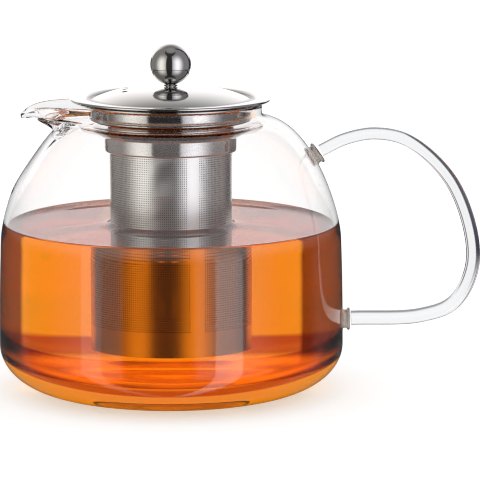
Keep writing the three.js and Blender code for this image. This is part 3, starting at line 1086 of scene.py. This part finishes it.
for sector in range(SECTORS):

    def wall_holed(i, j):
        column = sector * SECTOR_COLUMNS + i
        clear_of_seam = SEAM_COLUMNS // 2 <= column < HOLE_COLUMNS - SEAM_COLUMNS // 2
        return clear_of_seam and 0 <= j - len(PLAIN_LOW) < HOLE_ROWS

    start = math.radians(SEAM_AZIMUTH - 90) + sector * SECTOR_COLUMNS * HOLE_TURN
    quarter = perforated(SECTOR_COLUMNS, HOLE_TURN, start, WALL_LEVELS, wall_place, wall_holed)
    perforated_piece("basket_quarter_" + "abcd"[sector], quarter, "basket_wall")

DISH_R = radius_of("basket_base")
DISH_FOOT_Z = foot_of("basket_base")
DISH_TOP_Z = top_of("basket_base")
DISH_CORNER = 1.2
DISH_FLAT = DISH_R - DISH_CORNER
DISH_BEND = DISH_CORNER * math.pi / 2
DISH_PLAIN_LEVELS = [0.8, 5.0]
DISH_SHEET = 0.4
DISH_COLUMNS = 96
DISH_HOLES_FROM = 10.0
DISH_HOLES_TO = 33.0
DISH_TURN = 2 * math.pi / DISH_COLUMNS


def dish_place(v):
    """Along the dish's underside from its middle, round its corner and up its edge."""
    turned = min(max((v - DISH_FLAT) / DISH_CORNER, 0.0), math.pi / 2)
    out_of, up = math.sin(turned), -math.cos(turned)
    r = min(v, DISH_FLAT) + DISH_CORNER * out_of
    z = DISH_FOOT_Z + DISH_CORNER * (1 + up) + max(v - DISH_FLAT - DISH_BEND, 0.0)
    inner_r = max(r - DISH_SHEET * out_of, 0.0)
    return (r, z), (inner_r, z - DISH_SHEET * up), (out_of, up)


dish_levels = [*DISH_PLAIN_LEVELS, DISH_HOLES_FROM]
while dish_levels[-1] < DISH_HOLES_TO:
    dish_levels.append(dish_levels[-1] * (1 + DISH_TURN))
dish_rows = len(dish_levels) - 1
dish_levels += [DISH_FLAT + DISH_BEND * k / 6 for k in range(7)]
dish_levels.append(DISH_FLAT + DISH_BEND + DISH_TOP_Z - DISH_FOOT_Z - DISH_CORNER)


def dish_holed(i, j):
    return len(DISH_PLAIN_LEVELS) <= j < dish_rows


dish = perforated(DISH_COLUMNS, DISH_TURN, 0.0, dish_levels, dish_place, dish_holed, True)
perforated_piece("base_dish", dish, "basket_base")


# Lid ---------------------------------------------------------------------------------------
def dome_height(r):
    return GROOVE_Z + (DOME_TOP_Z - GROOVE_Z) * (1 - (r / DOME_R) ** DOME_POWER)


LID_SIDES = 192
CREASE = ((36.1, GROOVE_Z), (37.3, LID_RIM_Z - 0.35), (38.4, LID_RIM_Z))
CREASE_ROUND = 0.6
HEM_LAP = 1.2
FACING_DOWN = -0.3


def lid_profile():
    """The dome's underside, the rolled hem of the rim, and back over the groove and the dome."""
    dome = [(r, dome_height(r)) for r in np.linspace(SCREW_HOLE_R, DOME_R, 40)]
    crease = softened([dome[-1], *CREASE], CREASE_ROUND)
    top = dome + crease[1:]
    hem_r = LID_R - LID_HEM / 2
    hem = arc((hem_r, LID_RIM_Z - LID_HEM / 2), LID_HEM / 2, -90, 90, 12)
    under = [tuple(p) for p in beside(top, SHEET)]
    return [*under, (hem_r - HEM_LAP, LID_RIM_Z - SHEET), *hem, *top[::-1]]


vertices, faces = lathe(lid_profile(), LID_SIDES, ring=True)
lid = make_piece(
    "domed_lid", vertices, faces, CREASED, "lid", ["lid_plate"], sharp=50
)

# The three vents are cut by round bars
drill_points, drill_faces = [], []
for row in (-1, 0, 1):
    start = len(drill_points)
    for level in (DOME_TOP_Z - 6, DOME_TOP_Z + 3):
        for k in range(VENT_SIDES):
            bearing = 2 * math.pi * k / VENT_SIDES
            x = VENT_X + VENT_R * math.cos(bearing)
            drill_points.append((x, row * VENT_SPACING + VENT_R * math.sin(bearing), level))
    low = range(start, start + VENT_SIDES)
    for k in range(VENT_SIDES):
        m = (k + 1) % VENT_SIDES
        drill_faces.append((low[k], low[m], low[m] + VENT_SIDES, low[k] + VENT_SIDES))
    drill_faces.append(tuple(reversed(low)))
    drill_faces.append(tuple(v + VENT_SIDES for v in low))
drill_mesh = bpy.data.meshes.new("drill")
drill_mesh.from_pydata([tuple(p) for p in np.array(drill_points) * MM], [], drill_faces)
drill = bpy.data.objects.new("drill", drill_mesh)
bpy.context.collection.objects.link(drill)
cut = lid.modifiers.new("vents", "BOOLEAN")
cut.operation = "DIFFERENCE"
cut.solver = "EXACT"
cut.object = drill
bpy.context.view_layer.update()
cut_lid = lid.evaluated_get(bpy.context.evaluated_depsgraph_get())
cut_mesh = bpy.data.meshes.new_from_object(cut_lid)
lid.modifiers.clear()
lid.data = cut_mesh
mark_inside(lid, lambda place, normal: normal.z < FACING_DOWN)
bpy.data.objects.remove(drill)
bpy.data.meshes.remove(drill_mesh)

SKIRT_SIDES = 160
skirt_line = [(SKIRT_R, z) for z in np.linspace(SKIRT_FOOT_Z, SKIRT_TOP_Z, 6)]
vertices, faces = lathe(sheet(skirt_line, SHEET), SKIRT_SIDES, ring=True)
ring = make_piece("lid_ring", vertices, faces, SPUN, "lid", ["lid_skirt"])
mark_inside(ring, lambda place, normal: place.x * normal.x + place.y * normal.y < 0)


# Knob --------------------------------------------------------------------------------------
SEAM_ANGLE = -math.degrees(math.asin(BALL_SEAM_DROP / BALL_R))
SEAM_GAP = 0.5
OUTER_SEAM_GAP = 0.8
SEAM_LIP_R = BALL_R - 0.12
SEAM_LIP_Z = BALL_Z - BALL_SEAM_DROP
SEAM_LIP_HALF_GAP = 0.02
HOLE_ANGLE = -math.degrees(math.acos(SCREW_HOLE_R / BALL_R))
BALL_SIDES = 96
centre = (0.0, BALL_Z)

upper = [
    *arc(centre, BALL_R - BALL_SHELL, 90, SEAM_ANGLE + SEAM_GAP, 40),
    (SEAM_LIP_R, SEAM_LIP_Z + SEAM_LIP_HALF_GAP),
    *arc(centre, BALL_R, SEAM_ANGLE + OUTER_SEAM_GAP, 90, 48),
]
upper[0] = (0.0, BALL_Z + BALL_R - BALL_SHELL)
upper[-1] = (0.0, BALL_Z + BALL_R)
vertices, faces = lathe(upper, BALL_SIDES)
make_piece(
    "ball_upper", vertices, faces, POLISHED, "lid", ["knob_upper_half"], sharp=40
)
lower = [
    *arc(centre, BALL_R, HOLE_ANGLE, SEAM_ANGLE - OUTER_SEAM_GAP, 40),
    (SEAM_LIP_R, SEAM_LIP_Z - SEAM_LIP_HALF_GAP),
    *arc(centre, BALL_R - BALL_SHELL, SEAM_ANGLE - SEAM_GAP, HOLE_ANGLE, 32),
]
vertices, faces = lathe(lower, BALL_SIDES, ring=True)
make_piece(
    "ball_lower", vertices, faces, POLISHED, "lid", ["knob_lower_half"], sharp=40
)

# The knob's small parts keep their own shapes. The neck gets dark steel as painted shade where the
# ball meets the lid.
for name in ("knob_neck", "knob_insert", "knob_washer", "knob_screw"):
    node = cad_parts[name]
    node.data.materials.clear()
    node.data.materials.append(NECK_SHADE_STEEL if name == "knob_neck" else SPUN)
